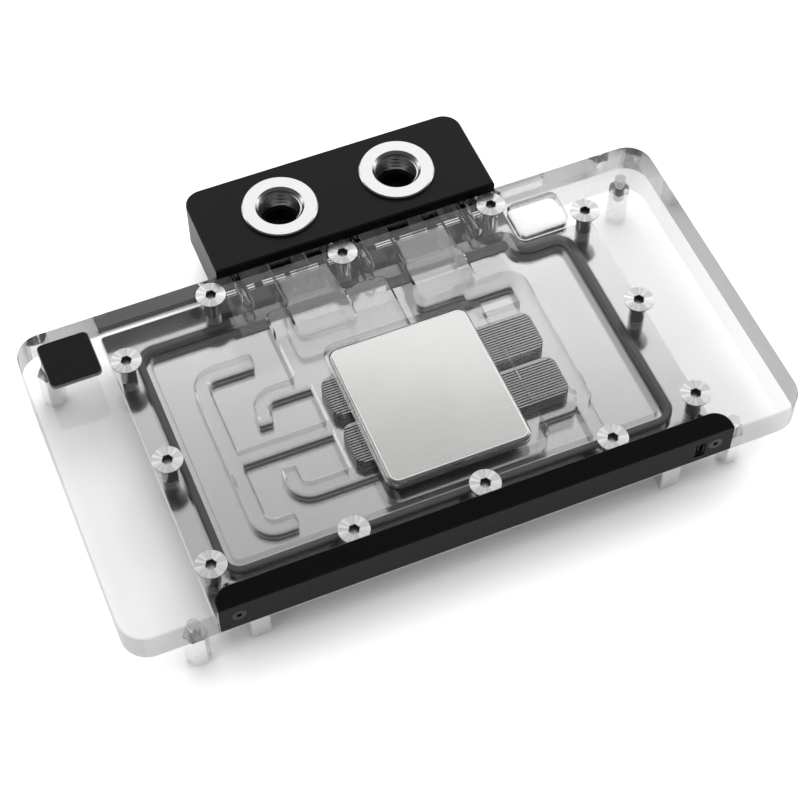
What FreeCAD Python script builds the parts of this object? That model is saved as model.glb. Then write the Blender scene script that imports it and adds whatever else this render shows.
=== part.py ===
"""Liquid cooling cold plate: a full-cover water block for a graphics card.

A clear cover with milled water channels is screwed on a nickel-plated copper plate. A black
terminal with two threaded ports is bolted to the cover's back edge, and a black light bar
lies in a notch of its front edge. Hex standoffs in the corners carry the block on the card.

Plan sizes are measured from the middle of the cover: X to the right, Y to the back. The
origin of the finished part is the centre of the copper face that touches the processor.
"""
import FreeCAD, Part
import math
import os
import re
import Sketcher

doc = FreeCAD.newDocument("cold_plate")
V = FreeCAD.Vector

# Driving sizes in millimetres: name, value, meaning.
SIZES = [
    ("gpu_x", 4.5, "processor centre from the middle of the cover"),
    ("gpu_y", -4.1, "processor centre from the middle of the cover"),
    ("gpu_length", 40.0, "copper face that touches the processor"),
    ("gpu_width", 36.0, "copper face that touches the processor"),
    ("gpu_drop", 6.1, "processor's pedestal under the plate"),
    ("cover_length", 180.0, "clear cover"),
    ("cover_width", 95.0, "clear cover"),
    ("cover_thick", 9.0, "clear cover"),
    ("cover_corner", 7.0, "clear cover's corner radius"),
    ("cover_gap", 0.05, "gap that the O-ring keeps between plate and cover"),
    ("edge_chamfer", 0.3, "broken outer edges"),
    ("plate_front_margin", 1.7, "copper plate's front edge from the cover's"),
    ("plate_back_margin", 0.5, "copper plate's back edge from the cover's"),
    ("plate_thick", 3.4, "copper plate without its pedestals"),
    ("plate_corner", 1.0, "copper plate's corner radius"),
    ("notch_width", 13.0, "cut-out in the plate's back right corner"),
    ("notch_corner", 2.2, "inner corner of the plate's cut-out"),
    ("pad_drop", 7.6, "pedestals for memory and power stage under the plate"),
    ("pad_corner", 0.8, "pedestal corner radius"),
    ("memory_gap", 3.2, "memory pedestals beside the processor's"),
    ("memory_width", 11.5, "memory pedestals"),
    ("power_width", 5.6, "power stage pedestals"),
    ("power_margin", 10.0, "power stage pedestals from the plate's back edge"),
    ("seal_front_margin", 11.4, "O-ring's centre line from the plate's front edge"),
    ("seal_back_margin", 10.2, "O-ring's centre line from the plate's back edge"),
    ("seal_step_margin", 3.8, "O-ring's step in front of the plate's cut-out"),
    ("seal_bend", 4.5, "O-ring's bend radius"),
    ("seal_step_bend", 3.2, "O-ring's bend radius at its step"),
    ("seal_cord", 2.1, "O-ring cord, pressed flat above and below"),
    ("seal_round", 0.8, "rounded edges of the pressed cord"),
    ("groove_outer", 1.15, "groove wall outside the centre line"),
    ("groove_inner", 2.5, "groove wall inside the centre line"),
    ("groove_depth", 2.6, "O-ring groove in the cover"),
    ("column_back_margin", 16.3, "back screw of each column from the plate's back edge"),
    ("column_mid", -1.9, "middle screw of each column"),
    ("column_front_margin", 11.7, "front screw of each column from the plate's front edge"),
    ("row_front_margin", 7.6, "front row of cover screws from the plate's front edge"),
    ("row_back_margin", 4.6, "back row of cover screws from the plate's back edge"),
    ("screw_head", 8.0, "countersunk head"),
    ("screw_rim", 0.15, "straight rim of the countersunk head"),
    ("screw_shank", 4.0, "cover screw thread"),
    ("screw_clear", 4.3, "clearance hole in the cover"),
    ("screw_bite", 3.1, "cover screws inside the copper plate"),
    ("screw_key", 2.5, "cover screw key across flats"),
    ("screw_key_depth", 1.6, "cover screw key socket"),
    ("fit_gap", 0.05, "gap all round a screw's thread or a pressed-in piece"),
    ("channel_width", 4.0, "water channels"),
    ("channel_depth", 3.5, "water channels and shallow rooms"),
    ("channel_bend", 4.5, "centre line radius of a channel's bend"),
    ("cutter_corner", 0.8, "small corner left by the cutter"),
    ("cutter_nose", 0.6, "bevel that the cutter leaves along a ceiling's edge"),
    ("arm_high_margin", 13.8, "high arm from the O-ring's back run"),
    ("arm_mid", -4.1, "middle arm"),
    ("arm_low_margin", 8.0, "low arm from the O-ring's front run"),
    ("hook_reach", 15.4, "hooked channels above and below the middle arm"),
    ("hook_end", 7.4, "hooked channels' closed ends above and below the middle arm"),
    ("return_front", -21.0, "shallow room right of the fins"),
    ("return_back", 13.7, "shallow room right of the fins"),
    ("rise_width", 4.6, "channel from the right room to the outlet tray"),
    ("rise_bend", 3.0, "bend of the channel to the outlet tray"),
    ("rise_lap", 0.2, "centre line of the channel to the outlet tray, in front of the tray"),
    ("feed_corner", 2.6, "corner of the shallow room at the inlet tray"),
    ("well_left", -16.5, "deep well round the flow plate"),
    ("well_right", 27.4, "deep well round the flow plate"),
    ("well_front_margin", 3.7, "deep well from the O-ring's front run"),
    ("well_back", 17.5, "deep well round the flow plate"),
    ("well_depth", 6.8, "deep well round the flow plate"),
    ("well_corner", 3.5, "corner of the deep well"),
    ("sump_front", -22.7, "deep pocket right of the well"),
    ("sump_back", -18.0, "deep pocket right of the well"),
    ("sump_corner", 2.0, "corner of the deep pocket"),
    ("tray_margin", 2.4, "deep trays under the ports from the O-ring's back run"),
    ("tray_length", 12.0, "deep trays under the ports"),
    ("tray_width", 16.8, "deep trays under the ports"),
    ("tray_depth", 7.0, "deep trays under the ports"),
    ("tray_corner", 2.2, "corner of the deep trays"),
    ("relief_margin", 1.8, "relief over the cut-out from the plate's back edge"),
    ("relief_depth", 3.3, "relief in the cover over the plate's cut-out"),
    ("fin_inner", 1.65, "each bank of fins from the middle arm"),
    ("fin_bank", 12.2, "width of a bank of fins"),
    ("fin_height", 3.5, "fins above the plate"),
    ("fin_pitch", 0.8, "fin pitch"),
    ("fin_slot", 0.4, "slot between fins"),
    ("fin_corner", 2.5, "rounded corner of a bank"),
    ("flow_left", -15.6, "flow plate on the fins"),
    ("flow_right", 23.5, "flow plate on the fins"),
    ("flow_front_margin", 2.1, "flow plate from the well's front wall"),
    ("flow_back", 16.1, "flow plate on the fins"),
    ("flow_thick", 2.5, "flow plate on the fins"),
    ("flow_corner", 3.0, "flow plate's corner radius"),
    ("flow_round", 1.2, "flow plate's rounded top edge"),
    ("terminal_depth", 27.1, "terminal block behind the cover"),
    ("terminal_rise", 3.4, "terminal top above the cover"),
    ("terminal_drop", 2.2, "terminal bottom below the cover's underside"),
    ("terminal_lip", 1.2, "terminal's lip over the cover's back edge"),
    ("terminal_corner", 5.0, "terminal's rounded back corners"),
    ("terminal_chamfer", 0.4, "terminal's broken edges"),
    ("port_setback", 12.8, "port centres behind the cover's back face"),
    ("port_aside", 0.8, "port centres to the right of their ducts' centres"),
    ("port_flange", 20.5, "collar flange"),
    ("port_proud", 1.0, "collar flange above the terminal"),
    ("port_bevel", 0.3, "collar flange's broken edge"),
    ("port_sleeve", 16.4, "collar sleeve"),
    ("port_sleeve_length", 5.6, "collar sleeve inside the terminal"),
    ("port_bore", 11.8, "bore of the G1/4 thread"),
    ("port_mouth", 13.2, "chamfered mouth of the thread"),
    ("port_throat", 9.0, "narrower bore under the collar"),
    ("port_floor", 2.6, "throat's floor above the cover's underside"),
    ("duct_width", 15.6, "duct from each port into the cover"),
    ("duct_low", 3.0, "duct floor above the cover's underside"),
    ("duct_high", 6.7, "duct ceiling above the cover's underside"),
    ("duct_corner", 1.0, "duct's corner radius"),
    ("rib_width", 3.0, "rib in the mouth of each duct"),
    ("rib_length", 3.6, "rib in the mouth of each duct"),
    ("duct_cord", 1.2, "seal round each duct"),
    ("duct_seal_gap", 1.2, "seal's centre line outside the duct"),
    ("duct_seal_depth", 1.0, "seal groove in the terminal's front face"),
    ("stay_high", 5.4, "terminal screws above the cover's underside"),
    ("stay_shank", 3.0, "terminal screw thread"),
    ("stay_reach", 5.0, "terminal screws inside the cover"),
    ("stay_drill", 9.9, "drilled holes for the terminal screws in the cover"),
    ("stay_tip", 1.3, "pointed end of those drilled holes"),
    ("stay_head", 5.5, "terminal screw head"),
    ("stay_head_height", 3.0, "terminal screw head"),
    ("stay_sink", 4.0, "counterbore in the terminal's back"),
    ("stay_key", 2.5, "terminal screw key across flats"),
    ("stay_key_depth", 1.5, "terminal screw key socket"),
    ("stay_gap", 0.15, "gap round a terminal screw's head and shank"),
    ("bar_body", 4.9, "depth of the bar in its notch"),
    ("bar_lip", 6.1, "depth of the lip over the cover"),
    ("bar_rise", 1.0, "bar top above the cover"),
    ("bar_corner", 4.4, "rounded back corners of the bar"),
    ("bar_gap", 0.1, "gap between bar and notch"),
    ("recess_depth", 3.6, "recess for the lights in the bar's rear"),
    ("recess_end", 12.0, "recess from each end of the bar"),
    ("recess_low", 1.6, "recess floor above the bar's bottom"),
    ("recess_high", 7.4, "recess ceiling above the bar's bottom"),
    ("strip_thick", 0.8, "light strip"),
    ("strip_gap", 0.1, "gap round the light strip"),
    ("diode_size", 3.0, "light diodes"),
    ("diode_thick", 1.4, "light diodes"),
    ("diode_count", 11, "light diodes"),
    ("pin_high", 5.0, "bar screws above the bar's bottom"),
    ("pin_head", 3.8, "bar screw head"),
    ("pin_head_height", 1.3, "bar screw head"),
    ("pin_shank", 2.0, "bar screw thread"),
    ("pin_reach", 4.0, "bar screws inside the cover"),
    ("pin_key", 1.3, "bar screw key across flats"),
    ("pin_key_depth", 0.8, "bar screw key socket"),
    ("socket_width", 2.8, "connector of the lights"),
    ("socket_low", 1.9, "connector's bottom above the bar's bottom"),
    ("socket_height", 5.2, "connector of the lights"),
    ("socket_depth", 3.4, "connector of the lights"),
    ("socket_inset", 0.4, "connector behind the bar's front face"),
    ("socket_wall", 0.4, "connector wall and tongue"),
    ("badge_left_margin", 5.5, "badge from the cover's left edge"),
    ("badge_back_margin", 4.3, "badge from the cover's back edge"),
    ("badge_length", 13.7, "badge"),
    ("badge_width", 14.3, "badge"),
    ("badge_thick", 0.9, "badge"),
    ("badge_corner", 1.5, "badge"),
    ("badge_bevel", 0.25, "badge's bevelled edge"),
    ("post_flats", 5.5, "hex standoff across flats"),
    ("post_length", 12.0, "hex standoff"),
    ("post_bevel", 0.4, "turned bevel at both ends of a standoff"),
    ("post_stud", 3.0, "stud that screws into the cover"),
    ("post_stud_length", 4.0, "stud that screws into the cover"),
    ("post_bore", 2.5, "bore of the M3 thread from below"),
    ("post_bore_depth", 7.0, "bore of the M3 thread from below"),
    ("back_left_aside", 7.1, "standoff from the cover's left edge"),
    ("back_left_inward", 6.2, "standoff from the cover's back edge"),
    ("back_right_aside", 8.7, "standoff from the cover's right edge"),
    ("back_right_inward", 6.6, "standoff from the cover's back edge"),
    ("front_left_aside", 5.7, "standoff from the plate's left edge"),
    ("front_left_inward", 2.5, "standoff from the cover's front edge"),
    ("front_right_aside", 3.3, "standoff from the plate's right edge"),
    ("front_right_inward", 5.3, "standoff from the cover's front edge"),
]

# Positions along the cover as shares of its length: name, share, meaning.
SHARES = [
    ("plate_left", -0.3739, "left edge of the copper plate"),
    ("plate_right", 0.3844, "right edge of the copper plate"),
    ("notch_x", 0.2683, "cut-out in the plate's back right corner starts here"),
    ("power_left", -0.315, "left power stage pedestal, centre"),
    ("power_right", 0.3022, "right power stage pedestal, centre"),
    ("seal_left", -0.3356, "centre line of the perimeter O-ring"),
    ("seal_right", 0.3322, "centre line of the perimeter O-ring"),
    ("seal_step_x", 0.2556, "O-ring's step round the plate's cut-out"),
    ("screw_left", -0.3572, "left column of cover screws"),
    ("screw_right", 0.3622, "right column of cover screws"),
    ("row_front_first", -0.1622, "first screw of the front row"),
    ("row_front_pitch", 0.1922, "pitch of the front row"),
    ("row_back_left", -0.2072, "left screw of the back row"),
    ("row_back_mid", -0.0017, "middle screw of the back row"),
    ("row_back_right", 0.2372, "right screw of the back row"),
    ("spine_x", -0.2694, "channel that joins the three arms"),
    ("arm_high_end", -0.1844, "end of the high arm"),
    ("arm_low_end", -0.22, "end of the low arm"),
    ("hook_x", -0.2028, "closed ends of the two hooked channels"),
    ("lobby_left", -0.125, "shallow room left of the fins"),
    ("return_right", 0.2406, "shallow room right of the fins"),
    ("drain_x", 0.2239, "drain slot from the deep pocket to the O-ring"),
    ("feed_left", -0.1417, "shallow room between the fins and the inlet tray"),
    ("feed_right", 0.05, "shallow room between the fins and the inlet tray"),
    ("sump_left", 0.1111, "deep pocket right of the well"),
    ("sump_right", 0.2139, "deep pocket right of the well"),
    ("relief_right", 0.35, "relief in the cover over the plate's cut-out"),
    ("fin_left", -0.1111, "left end of the fins"),
    ("fin_right", 0.215, "right end of the fins"),
    ("terminal_left", -0.19, "terminal block"),
    ("terminal_right", 0.2522, "terminal block"),
    ("port_left", -0.0661, "inlet duct"),
    ("port_right", 0.1211, "outlet duct"),
    ("stay_left", -0.1583, "left terminal screw"),
    ("stay_mid", 0.0306, "middle terminal screw"),
    ("stay_right", 0.2028, "right terminal screw"),
    ("bar_left", -0.3728, "light bar"),
    ("bar_right", 0.3839, "light bar"),
    ("diode_pitch", 0.0556, "light diodes"),
    ("pin_left", -0.3456, "left screw of the bar"),
    ("pin_right", 0.3572, "right screw of the bar"),
    ("socket_x", 0.3339, "connector of the lights"),
]

# Plan lines that follow from those sizes: name, formula, meaning.
LINES = [
    ("plate_front", "plate_front_margin - cover_width / 2", "copper plate"),
    ("plate_back", "cover_width / 2 - plate_back_margin", "copper plate"),
    ("notch_y", "plate_back - notch_width", "cut-out in the plate's back right corner"),
    ("seal_front", "plate_front + seal_front_margin", "centre line of the perimeter O-ring"),
    ("seal_back", "plate_back - seal_back_margin", "centre line of the perimeter O-ring"),
    ("seal_step_y", "notch_y - seal_step_margin", "O-ring's step"),
    ("column_front", "plate_front + column_front_margin", "front screw of each column"),
    ("column_back", "plate_back - column_back_margin", "back screw of each column"),
    ("row_front", "plate_front + row_front_margin", "front row of cover screws"),
    ("row_back", "plate_back - row_back_margin", "back row of cover screws"),
    ("arm_high", "seal_back - arm_high_margin", "high arm"),
    ("arm_low", "seal_front + arm_low_margin", "low arm"),
    ("well_front", "seal_front + well_front_margin", "deep well round the flow plate"),
    ("flow_front", "well_front + flow_front_margin", "flow plate on the fins"),
    ("tray_back", "seal_back - tray_margin", "deep trays under the ports"),
    ("tray_front", "tray_back - tray_length", "deep trays under the ports"),
    ("rise_y", "tray_front - rise_lap", "channel from the return room to the outlet tray"),
    ("relief_back", "plate_back - relief_margin", "relief over the plate's cut-out"),
    ("badge_left", "badge_left_margin - cover_length / 2", "badge"),
    ("badge_back", "cover_width / 2 - badge_back_margin", "badge"),
    ("back_left_x", "back_left_aside - cover_length / 2", "standoff"),
    ("back_left_y", "cover_width / 2 - back_left_inward", "standoff"),
    ("back_right_x", "cover_length / 2 - back_right_aside", "standoff"),
    ("back_right_y", "cover_width / 2 - back_right_inward", "standoff"),
    ("front_left_x", "plate_left - front_left_aside", "standoff"),
    ("front_left_y", "front_left_inward - cover_width / 2", "standoff"),
    ("front_right_x", "plate_right + front_right_aside", "standoff"),
    ("front_right_y", "front_right_inward - cover_width / 2", "standoff"),
]
ROWS = (SIZES + [(name, f"{share} * cover_length", meaning) for name, share, meaning in SHARES]
        + LINES)
NAMES = {name for name, _, _ in ROWS}
WORD = re.compile(r"[a-z_]\w*")

# Levels above the origin.
PLATE_LEVEL = "gpu_drop"
PLATE_TOP = "gpu_drop + plate_thick"
COVER_LEVEL = "gpu_drop + plate_thick + cover_gap"

# Plan positions of what repeats.
COVER_SCREWS = (
    [("screw_left", y) for y in ("column_back", "column_mid", "column_front")]
    + [("screw_right", y) for y in ("column_back", "column_mid", "column_front")]
    + [(f"row_front_first + {n} * row_front_pitch", "row_front") for n in range(3)]
    + [(x, "row_back") for x in ("row_back_left", "row_back_mid", "row_back_right")]
)
PORTS = {"inlet": "port_left", "outlet": "port_right"}
STAYS = ("stay_left", "stay_mid", "stay_right")
PINS = ("pin_left", "pin_right")
POSTS = ("back_left", "back_right", "front_left", "front_right")


def make_sheet():
    """Writes the sizes and plan lines in a spreadsheet, one named cell a row."""
    sheet = doc.addObject("Spreadsheet::Sheet", "sizes")
    for row, (name, value, meaning) in enumerate(ROWS, start=1):
        sheet.set(f"A{row}", f"={value}")
        sheet.setAlias(f"A{row}", name)
        sheet.set(f"B{row}", meaning)
    doc.recompute()
    return sheet


sizes = make_sheet()


def size(expression):
    """The value of an expression in the sheet's names."""
    return float(sizes.evalExpression(expression))


def bind(thing, prop, expression):
    """Ties a property to an expression in the sheet's names."""
    linked = WORD.sub(lambda m: f"sizes.{m[0]}" if m[0] in NAMES else m[0], expression)
    thing.setExpression(prop, linked)


def place(thing, level, x="0", y="0"):
    """Puts a point of the plan, at a level, where it lies from the part's own origin."""
    bind(thing, "Placement.Base.x", f"{x} - gpu_x")
    bind(thing, "Placement.Base.y", f"{y} - gpu_y")
    bind(thing, "Placement.Base.z", level)


def new_body(name, level, x="0", y="0"):
    """An empty body, placed at a level and at a point of the plan."""
    body = doc.addObject("PartDesign::Body", name)
    body.Label = name
    place(body, level, x, y)
    return body


def sketch_on(body, name, role="XY_Plane", offset="0"):
    """A sketch on one of the body's own origin planes, moved along the plane's normal."""
    plane = next(f for f in body.Origin.OriginFeatures if f.Role == role)
    sketch = body.newObject("Sketcher::SketchObject", name)
    sketch.AttachmentSupport = (plane, "")
    sketch.MapMode = "FlatFace"
    bind(sketch, "AttachmentOffset.Base.z", offset)
    return sketch


def dimension(sketch, expression, kind, *where):
    """Adds a dimension to a sketch and ties it to an expression."""
    value = size(expression)
    index = sketch.addConstraint(Sketcher.Constraint(kind, *where, value))
    bind(sketch, f"Constraints[{index}]", expression)


def circle(sketch, x, y, diameter):
    """A circle, tied to the sheet."""
    centre = V(size(x), size(y), 0)
    item = sketch.addGeometry(Part.Circle(centre, V(0, 0, 1), size(diameter) / 2))
    dimension(sketch, diameter, "Diameter", item)
    dimension(sketch, x, "DistanceX", -1, 1, item, 3)
    dimension(sketch, y, "DistanceY", -1, 1, item, 3)


def outline(sketch, corners):
    """A closed outline of runs along X and Y, its corners (x, y, radius) tied to the sheet."""
    spots = [V(size(x), size(y), 0) for x, y, _ in corners]
    radii = [size(radius) for _, _, radius in corners]
    count = len(corners)
    ahead = [(spots[(n + 1) % count] - spots[n]).normalize() for n in range(count)]
    enter = [spots[n] - ahead[n - 1] * radii[n] for n in range(count)]
    leave = [spots[n] + ahead[n] * radii[n] for n in range(count)]
    runs = [sketch.addGeometry(Part.LineSegment(leave[n], enter[(n + 1) % count]))
            for n in range(count)]
    for n, (x, y, radius) in enumerate(corners):
        if abs(ahead[n].x) > abs(ahead[n].y):
            sketch.addConstraint(Sketcher.Constraint("Horizontal", runs[n]))
            dimension(sketch, y, "DistanceY", -1, 1, runs[n], 1)
        else:
            sketch.addConstraint(Sketcher.Constraint("Vertical", runs[n]))
            dimension(sketch, x, "DistanceX", -1, 1, runs[n], 1)
        if radii[n] == 0:
            sketch.addConstraint(Sketcher.Constraint("Coincident", runs[n - 1], 2, runs[n], 1))
            continue
        centre = spots[n] + (ahead[n] - ahead[n - 1]) * radii[n]
        left_turn = ahead[n - 1].cross(ahead[n]).z > 0
        first = (enter[n] if left_turn else leave[n]) - centre
        angle = math.atan2(first.y, first.x)
        whole = Part.Circle(centre, V(0, 0, 1), radii[n])
        arc = sketch.addGeometry(Part.ArcOfCircle(whole, angle, angle + math.pi / 2))
        near, far = (1, 2) if left_turn else (2, 1)
        sketch.addConstraint(Sketcher.Constraint("Tangent", runs[n - 1], 2, arc, near))
        sketch.addConstraint(Sketcher.Constraint("Tangent", arc, far, runs[n], 1))
        dimension(sketch, radius, "Radius", arc)


def rectangle(sketch, left, right, front, back, radius="0"):
    """A rectangle with rounded corners, tied to the sheet."""
    corners = [(left, front), (right, front), (right, back), (left, back)]
    outline(sketch, [(x, y, radius) for x, y in corners])


def polygon(sketch, points):
    """A closed polygon of points (x, y), tied to the sheet."""
    spots = [V(size(x), size(y), 0) for x, y in points]
    count = len(points)
    sides = [sketch.addGeometry(Part.LineSegment(spots[n], spots[(n + 1) % count]))
             for n in range(count)]
    for n, (x, y) in enumerate(points):
        sketch.addConstraint(Sketcher.Constraint("Coincident", sides[n - 1], 2, sides[n], 1))
        dimension(sketch, x, "DistanceX", -1, 1, sides[n], 1)
        dimension(sketch, y, "DistanceY", -1, 1, sides[n], 1)


def hexagon(sketch, flats):
    """A regular hexagon round the sketch's origin, its size across flats tied to the sheet."""
    reach = size(flats) / math.sqrt(3)
    angles = [math.radians(60 * n) for n in range(6)]
    spots = [V(reach * math.cos(a), reach * math.sin(a), 0) for a in angles]
    guide = sketch.addGeometry(Part.Circle(V(0, 0, 0), V(0, 0, 1), reach), True)
    sketch.addConstraint(Sketcher.Constraint("Coincident", guide, 3, -1, 1))
    dimension(sketch, f"{flats} / sqrt(3)", "Radius", guide)
    sides = [sketch.addGeometry(Part.LineSegment(spots[n - 1], spots[n])) for n in range(6)]
    for n, side in enumerate(sides):
        sketch.addConstraint(Sketcher.Constraint("Coincident", sides[n - 1], 2, side, 1))
        sketch.addConstraint(Sketcher.Constraint("PointOnObject", side, 1, guide))
        if n > 0:
            sketch.addConstraint(Sketcher.Constraint("Equal", sides[0], side))
    sketch.addConstraint(Sketcher.Constraint("PointOnObject", sides[1], 1, -1))


def channel(sketch, path, width, bend):
    """What a cutter of a width leaves along a path (x, y) of runs along X and Y."""
    spots = [V(size(x), size(y), 0) for x, y in path]
    runs = [(b - a).normalize() for a, b in zip(spots, spots[1:])]
    sides = []
    for side in (1, -1):
        line = []
        for n, (x, y) in enumerate(path):
            beside = runs[max(n - 1, 0):n + 1]
            for run in beside:
                if abs(run.x) > abs(run.y):
                    y = f"{y} + {side * round(run.x)} * {width} / 2"
                else:
                    x = f"{x} - {side * round(run.y)} * {width} / 2"
            if n in (0, len(path) - 1):
                radius = "cutter_corner"
            else:
                left_turn = runs[n - 1].cross(runs[n]).z * side > 0
                radius = f"{bend} {'-' if left_turn else '+'} {width} / 2"
            line.append((x, y, radius))
        sides.append(line)
    outline(sketch, sides[1] + sides[0][::-1])


def seal_line(sketch, offset):
    """The perimeter seal's line, moved outward by an offset."""
    left, right = f"seal_left - ({offset})", f"seal_right + ({offset})"
    front, back = f"seal_front - ({offset})", f"seal_back + ({offset})"
    step_x, step_y = f"seal_step_x + ({offset})", f"seal_step_y + ({offset})"
    bend = f"seal_bend + ({offset})"
    outline(sketch, [
        (left, front, bend), (right, front, bend), (right, step_y, bend),
        (step_x, step_y, f"seal_step_bend - ({offset})"),
        (step_x, back, f"seal_step_bend + ({offset})"), (left, back, bend)])


def bar_plan(sketch, depth, gap="0"):
    """The light bar's plan at the cover's front edge, widened by a gap."""
    left, right = f"bar_left - {gap}", f"bar_right + {gap}"
    front, back = f"-cover_width / 2 - {gap}", f"-cover_width / 2 + {depth} + {gap}"
    outline(sketch, [(left, front, "0"), (right, front, "0"),
                     (right, back, f"bar_corner + {gap}"), (left, back, f"bar_corner + {gap}")])


def duct_mouths(sketch, ports, margin="0"):
    """The mouths of the ports' ducts, widened by a margin."""
    for x in ports:
        rectangle(sketch, f"{x} - duct_width / 2 - ({margin})",
                  f"{x} + duct_width / 2 + ({margin})", f"duct_low - ({margin})",
                  f"duct_high + ({margin})", f"duct_corner + ({margin})")


def pad(body, sketch, length, against=False):
    """Adds material along the sketch's normal, or against it."""
    feature = body.newObject("PartDesign::Pad", sketch.Name + "_pad")
    feature.Profile = sketch
    bind(feature, "Length", length)
    feature.Reversed = against
    doc.recompute()


def check_cut(feature, before):
    """Stops the build if a cut took nothing away."""
    if feature.Shape.isNull() or feature.Shape.Volume > before - 1e-3:
        raise RuntimeError(f"{feature.Name} cuts nothing")


def pocket(body, sketch, depth, along=False, taper=0):
    """Cuts against the sketch's normal, or along it, straight or narrowing by an angle."""
    before = body.Shape.Volume
    feature = body.newObject("PartDesign::Pocket", sketch.Name + "_pocket")
    feature.Profile = sketch
    bind(feature, "Length", depth)
    feature.Reversed = along
    feature.TaperAngle = -taper
    doc.recompute()
    check_cut(feature, before)
    return feature


def mill(body, name, depth, draw):
    """Mills a room up into the cover, its ceiling's edge bevelled by the cutter's nose."""
    shaft = sketch_on(body, name)
    draw(shaft)
    pocket(body, shaft, f"{depth} - cutter_nose", along=True)
    nose = sketch_on(body, name + "_nose", offset=f"{depth} - cutter_nose")
    draw(nose)
    pocket(body, nose, "cutter_nose", along=True, taper=45)


def turn(body, sketch, cut=False):
    """Adds or cuts what a sketch on the XZ plane sweeps round the Z axis."""
    before = body.Shape.Volume if cut else 0
    kind = "PartDesign::Groove" if cut else "PartDesign::Revolution"
    feature = body.newObject(kind, sketch.Name + "_turned")
    feature.Profile = sketch
    feature.ReferenceAxis = (sketch, ["V_Axis"])
    feature.Angle = 360
    doc.recompute()
    if cut:
        check_cut(feature, before)


def edges_at(body, axis, level):
    """Names of the body's edges that lie flat at a level of an axis."""
    names = []
    for n, edge in enumerate(body.Tip.Shape.Edges, start=1):
        low = getattr(edge.BoundBox, axis + "Min")
        high = getattr(edge.BoundBox, axis + "Max")
        if abs(low - level) < 1e-4 and abs(high - level) < 1e-4:
            names.append(f"Edge{n}")
    return names


def bevel(body, names, length):
    """Chamfers edges of the body."""
    base = body.Tip
    feature = body.newObject("PartDesign::Chamfer", body.Name + "_bevel")
    feature.Base = (base, names)
    bind(feature, "Size", length)
    doc.recompute()


def rounding(body, names, radius):
    """Fillets edges of the body."""
    base = body.Tip
    feature = body.newObject("PartDesign::Fillet", body.Name + "_rounding")
    feature.Base = (base, names)
    bind(feature, "Radius", radius)
    doc.recompute()


def copies(name, form, places, turned=0):
    """Separate solids of one form at several places, each turned about X, as one sub-part."""
    rotation = FreeCAD.Rotation(V(1, 0, 0), turned)
    solids = []
    for x, y, z in places:
        solid = form.Shape.copy()
        solid.Placement = FreeCAD.Placement(V(size(x), size(y), size(z)), rotation)
        solids.append(solid)
    group = doc.addObject("Part::Feature", name)
    group.Label = name
    group.Shape = Part.makeCompound(solids)
    place(group, COVER_LEVEL)
    return group


def make_cover():
    """Clear cover with its milled channels, seal groove, screw holes and ducts."""
    body = new_body("clear_cover", COVER_LEVEL)
    plan = sketch_on(body, "cover_plan")
    rectangle(plan, "-cover_length / 2", "cover_length / 2",
              "-cover_width / 2", "cover_width / 2", "cover_corner")
    pad(body, plan, "cover_thick")
    bevel(body, edges_at(body, "Z", size("cover_thick")), "edge_chamfer")

    notch = sketch_on(body, "bar_notch")
    bar_plan(notch, "bar_body", "bar_gap")
    pocket(body, notch, "cover_thick", along=True)

    groove = sketch_on(body, "seal_groove")
    seal_line(groove, "groove_outer")
    seal_line(groove, "-groove_inner")
    pocket(body, groove, "groove_depth", along=True)

    cut_channels(body)
    cut_rooms(body)
    cut_edge_holes(body)
    cut_face_holes(body)
    return body


def cut_channels(body):
    """Narrow channels: three arms on a spine, two hooks, the rise and the drain."""
    into_well = "well_left + well_corner"
    high, low = "arm_mid + hook_reach", "arm_mid - hook_reach"
    rise_x = "return_right - rise_width / 2"
    paths = {
        "spine": [("arm_high_end", "arm_high"), ("spine_x", "arm_high"),
                  ("spine_x", "arm_low"), ("arm_low_end", "arm_low")],
        "middle_arm": [("spine_x", "arm_mid"), (into_well, "arm_mid")],
        "high_hook": [("hook_x", "arm_mid + hook_end"), ("hook_x", high), (into_well, high)],
        "low_hook": [("hook_x", "arm_mid - hook_end"), ("hook_x", low), (into_well, low)],
        "rise": [(rise_x, "return_back - rise_width"), (rise_x, "rise_y"),
                 ("port_right + tray_width / 4", "rise_y")],
        "drain": [("drain_x", "sump_back"), ("drain_x", "seal_front + seal_cord / 2")],
    }
    for name, path in paths.items():
        tool = ("rise_width", "rise_bend") if name == "rise" else ("channel_width", "channel_bend")
        mill(body, name, "channel_depth", lambda sketch: channel(sketch, path, *tool))


def cut_rooms(body):
    """Wider rooms: on the fins, round the flow plate, under the ports, over the cut-out."""
    half_span = "hook_reach - channel_width / 2 + 2 * cutter_nose"
    rooms = {
        "lobby": ("lobby_left", "gpu_x", f"arm_mid - ({half_span})",
                  f"arm_mid + {half_span}", "cutter_corner", "channel_depth"),
        "return_room": ("gpu_x", "return_right", "return_front", "return_back",
                        "cutter_corner", "channel_depth"),
        "feed_room": ("feed_left", "feed_right", "arm_mid + hook_reach",
                      "seal_back - seal_cord / 2", "feed_corner", "channel_depth"),
        "well": ("well_left", "well_right", "well_front", "well_back", "well_corner",
                 "well_depth"),
        "sump": ("sump_left", "sump_right", "sump_front", "sump_back", "sump_corner",
                 "well_depth"),
        "relief": ("notch_x", "relief_right", "notch_y", "relief_back", "notch_corner",
                   "relief_depth"),
    }
    for port, x in PORTS.items():
        rooms[port + "_tray"] = (f"{x} - tray_width / 2", f"{x} + tray_width / 2",
                                 "tray_front", "tray_back", "tray_corner", "tray_depth")
    for name, (*edges, corner, depth) in rooms.items():
        mill(body, name, depth, lambda sketch: rectangle(sketch, *edges, corner))


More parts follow.
